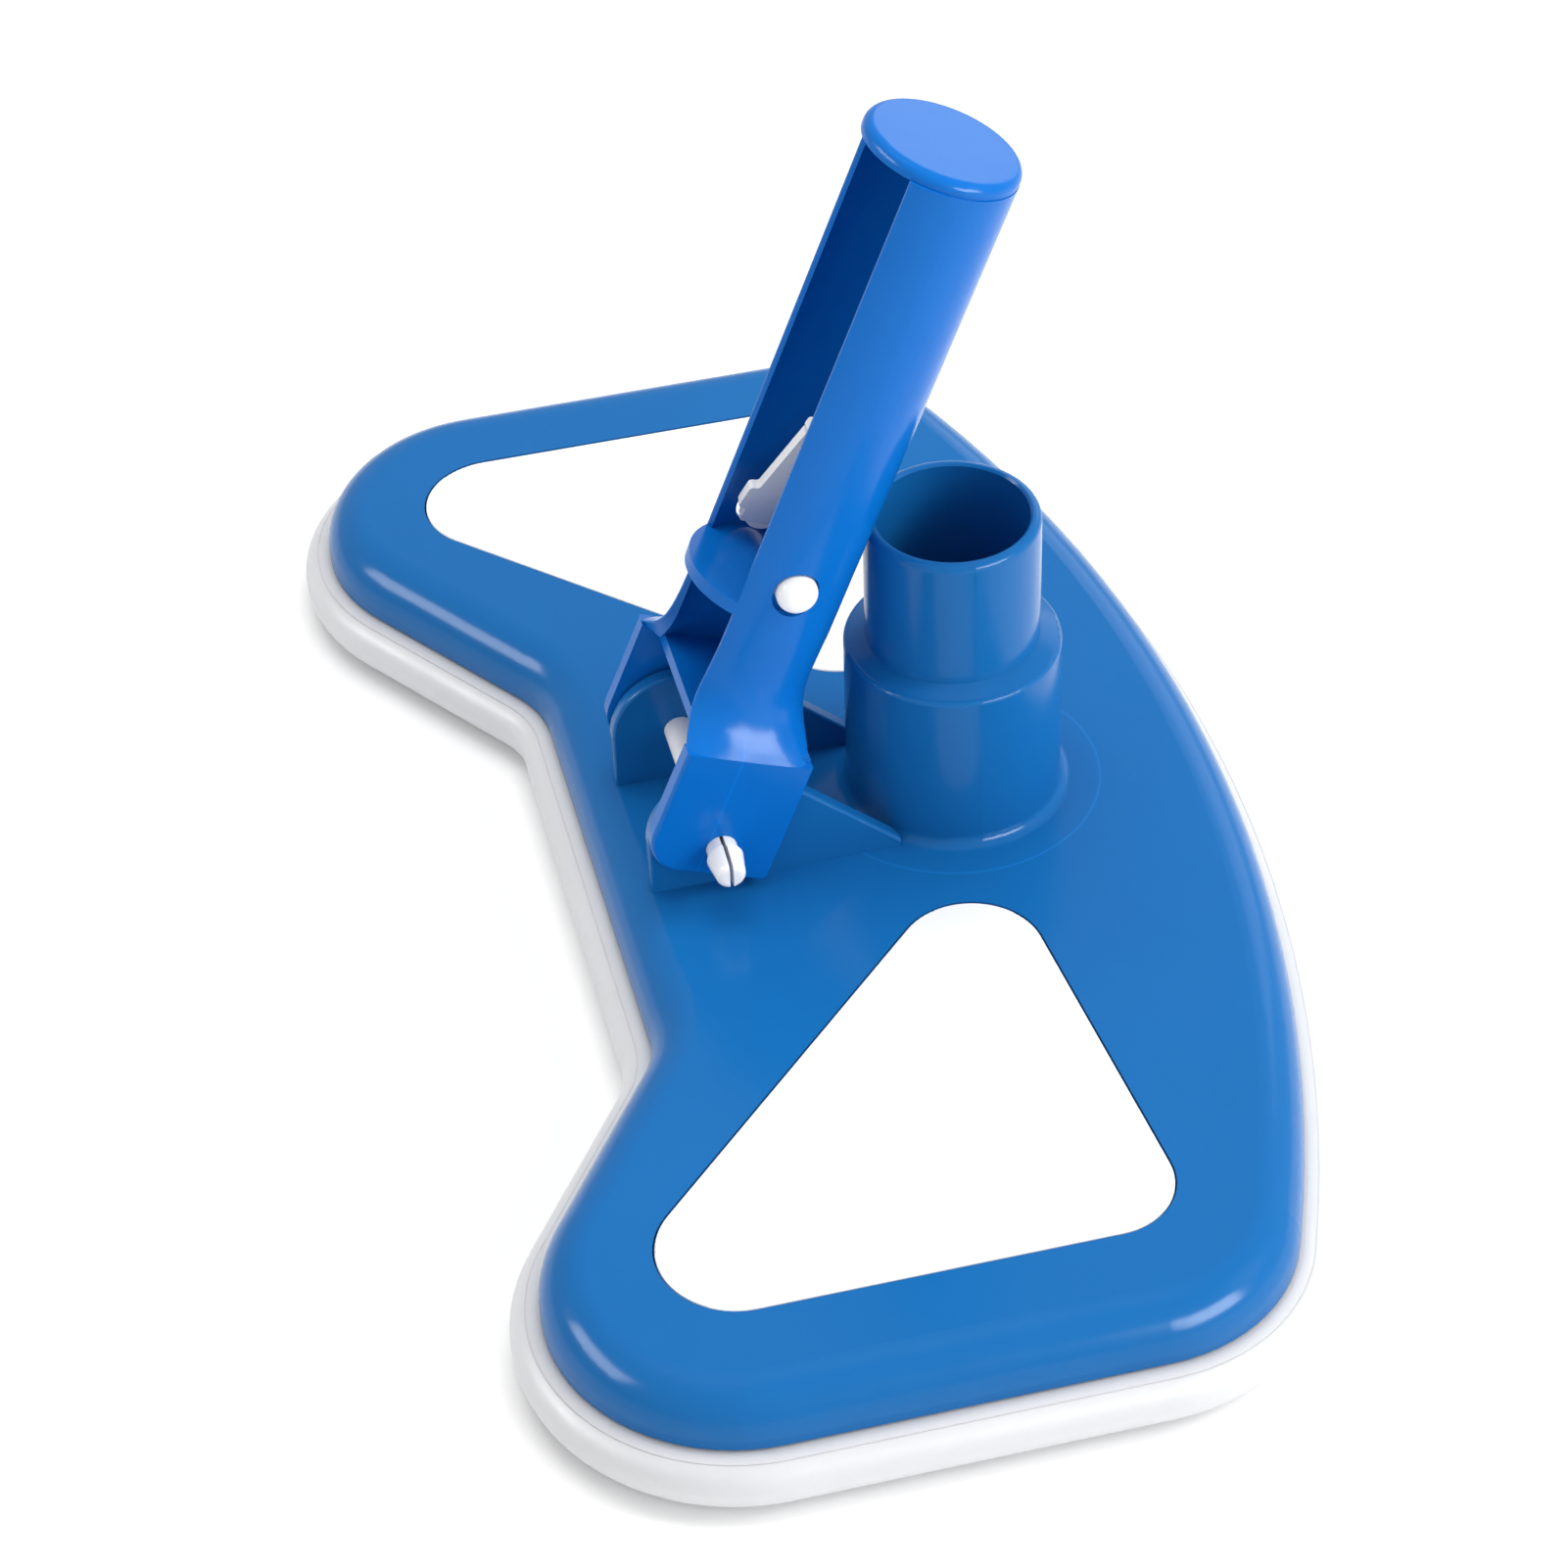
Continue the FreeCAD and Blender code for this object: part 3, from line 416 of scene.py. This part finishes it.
class MeshBuilder:
    """Vertices and faces collected for one mesh."""

    def __init__(self):
        self.points = []
        self.faces = []

    def tube(self, rings):
        """Skin between rings of points, with flat ends."""
        start = len(self.points)
        count = len(rings[0])
        for ring in rings:
            self.points.extend(ring)
        for level in range(len(rings) - 1):
            low = start + level * count
            for i in range(count):
                j = (i + 1) % count
                self.faces.append((low + i, low + j, low + count + j, low + count + i))
        last = start + (len(rings) - 1) * count
        self.faces.append(tuple(range(start + count - 1, start - 1, -1)))
        self.faces.append(tuple(range(last, last + count)))

    def build(self, name, material):
        """Smooth-shaded object made of what was collected."""
        mesh = bpy.data.meshes.new(name)
        mesh.from_pydata([tuple(p) for p in self.points], [], self.faces)
        mesh.materials.append(material)
        mesh.shade_smooth()
        mesh.update()
        piece = bpy.data.objects.new(name, mesh)
        bpy.context.scene.collection.objects.link(piece)
        return piece


class RowPath:
    """Centre line of a bristle row, read from its CAD block."""

    def __init__(self, node):
        low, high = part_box(node)
        self.top = high.z
        points = np.array([v.co[:2] for v in nodes[node].data.vertices])
        self.centre = (points.max(0) + points.min(0)) / 2
        spread = np.cov((points - self.centre).T)
        self.along = np.linalg.eigh(spread)[1][:, 1]
        self.across = np.array([-self.along[1], self.along[0]])
        run = (points - self.centre) @ self.along
        side = (points - self.centre) @ self.across
        terms = np.stack([run ** 2, run, np.ones(len(run))], axis=1)
        self.curve = np.linalg.lstsq(terms, side, rcond=CURVE_CUTOFF)[0]
        self.half = (run.max() - run.min()) / 2
        offsets = side - np.polyval(self.curve, run)
        self.half_width = (offsets.max() - offsets.min()) / 2

    def at(self, run, offset=0.0):
        """Point on the row, run along it from its middle and offset to one side."""
        bend = np.polyval(self.curve, run)
        slope = np.polyval(np.polyder(self.curve), run)
        normal = self.across - slope * self.along
        normal = normal / np.linalg.norm(normal)
        point = self.centre + self.along * run + self.across * bend + normal * offset
        return Vector((point[0], point[1], 0))


def add_filament(builder, root, tip, sag):
    """One nylon filament: a thin four-sided tube with a slight bend."""
    middle = (root + tip) / 2 + sag
    rings = []
    for centre, radius in zip((root, middle, tip), FILAMENT_RINGS):
        ring = []
        for k in range(FILAMENT_SIDES):
            angle = math.tau * k / FILAMENT_SIDES
            spoke = Vector((math.cos(angle), math.sin(angle), 0)) * FILAMENT_R * radius
            ring.append(centre + spoke)
        rings.append(ring)
    builder.tube(rings)


def add_tuft(builder, centre, root_z, draw):
    """A round bundle of filaments that opens out towards its tips."""
    for k in range(TUFT_FILAMENTS):
        share = math.sqrt((k + 0.5) / TUFT_FILAMENTS)
        angle = k * TUFT_TURN + draw.uniform(-TUFT_JITTER, TUFT_JITTER)
        spoke = Vector((math.cos(angle), math.sin(angle), 0)) * share
        root = centre + spoke * TUFT_ROOT_R + Vector((0, 0, root_z))
        end = centre + spoke * TUFT_TIP_R * draw.uniform(*TUFT_SPREAD)
        end.z = draw.uniform(0, FILAMENT_SHORT)
        sag = Vector((draw.uniform(-1, 1), draw.uniform(-1, 1), 0)) * FILAMENT_BEND
        add_filament(builder, root, end, sag)


def lifted(ring, z):
    """The ring's points moved to height z."""
    return [Vector((p.x, p.y, z)) for p in ring]


def add_strip(builder, path):
    """The strip that the tufts are set in, with eased edges."""
    low = path.top - STRIP_HEIGHT
    outer = []
    inner = []
    for ring, inset in ((outer, 0.0), (inner, STRIP_EDGE)):
        half = path.half - inset
        wide = path.half_width - inset
        for side in (1, -1):
            for k in range(STRIP_STEPS + 1):
                run = side * half * (2 * k / STRIP_STEPS - 1)
                ring.append(path.at(run, -side * wide))
    builder.tube([lifted(inner, low), lifted(outer, low + STRIP_EDGE), lifted(outer, path.top)])


def make_bristle_row(node, material, draw):
    """Tufts in two staggered lanes, set in a strip, in place of the CAD block."""
    path = RowPath(node)
    builder = MeshBuilder()
    add_strip(builder, path)
    reach = path.half - TUFT_TIP_R - STRIP_EDGE
    count = int(2 * reach / TUFT_PITCH)
    for lane in (-1, 1):
        for k in range(count):
            run = -reach + (k + 0.5 + LANE_STAGGER * lane) * 2 * reach / count
            add_tuft(builder, path.at(run, lane * TUFT_LANE), path.top - STRIP_HEIGHT / 2, draw)
    piece = builder.build("bristles" + node[len("brush"):], material)
    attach(piece, "head")
    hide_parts(node)


def make_bristles(material):
    """A row of tufts for each brush node, always in the same order."""
    draw = random.Random(BRISTLE_SEED)
    for node in sorted(nodes):
        if node.startswith("brush"):
            make_bristle_row(node, material, draw)


def make_floor():
    """Plain pale paper, just under the part."""
    bpy.ops.mesh.primitive_plane_add(size=FLOOR_SIZE, location=(0, 0, -FLOOR_DROP))
    floor = bpy.context.object
    floor.name = "floor"
    m = Material("floor_paper")
    m.colour(m.mix(m.noise(*FLOOR_DRIFT), scaled(FLOOR_WHITE, FLOOR_TONE), FLOOR_WHITE))
    m.roughness(m.remap(m.noise(*FLOOR_GRAIN), *FLOOR_ROUGHNESS))
    floor.data.materials.append(m.material)


def make_area_light(name, at, target, size, power, reflected, lighting):
    """Rectangular light that shows in reflections, lights surfaces, or does both."""
    light = bpy.data.lights.new(name, "AREA")
    light.shape = "RECTANGLE"
    light.size, light.size_y = size
    light.energy = power
    lamp = bpy.data.objects.new(name, light)
    bpy.context.scene.collection.objects.link(lamp)
    lamp.location = at
    lamp.rotation_euler = (Vector(target) - Vector(at)).to_track_quat("-Z", "Y").to_euler()
    lamp.visible_glossy = reflected
    lamp.visible_diffuse = lighting


def make_lights():
    """White surroundings, three broad lights, and panels that only show as reflections."""
    world = bpy.data.worlds.new("studio")
    world.use_nodes = True
    background = world.node_tree.nodes["Background"]
    background.inputs["Color"].default_value = (1, 1, 1, 1)
    background.inputs["Strength"].default_value = WORLD_STRENGTH
    bpy.context.scene.world = world
    for name, settings in LIGHTS.items():
        make_area_light(name, *settings)


def make_camera():
    """Camera at the photograph's viewing angle, turned by its roll."""
    azimuth = math.radians(CAMERA_AZIMUTH)
    elevation = math.radians(CAMERA_ELEVATION)
    level = math.cos(elevation)
    back = Vector((level * math.cos(azimuth), level * math.sin(azimuth), math.sin(elevation)))
    right = Vector((0, 0, 1)).cross(back).normalized()
    up = back.cross(right)
    roll = Matrix.Rotation(math.radians(CAMERA_ROLL), 3, back)
    right, up = roll @ right, roll @ up
    camera = bpy.data.objects.new("camera", bpy.data.cameras.new("camera"))
    camera.data.lens = CAMERA_LENS
    camera.data.sensor_width = CAMERA_SENSOR
    turn = Matrix((right, up, back)).transposed().to_4x4()
    camera.matrix_world = Matrix.Translation(CAMERA_AT) @ turn
    bpy.context.scene.collection.objects.link(camera)
    bpy.context.scene.camera = camera


materials = make_materials()
paint_cad_nodes(materials)
make_bristles(materials["bristle_nylon"])
make_floor()
make_lights()
make_camera()
bpy.context.scene.view_settings.view_transform = "Standard"
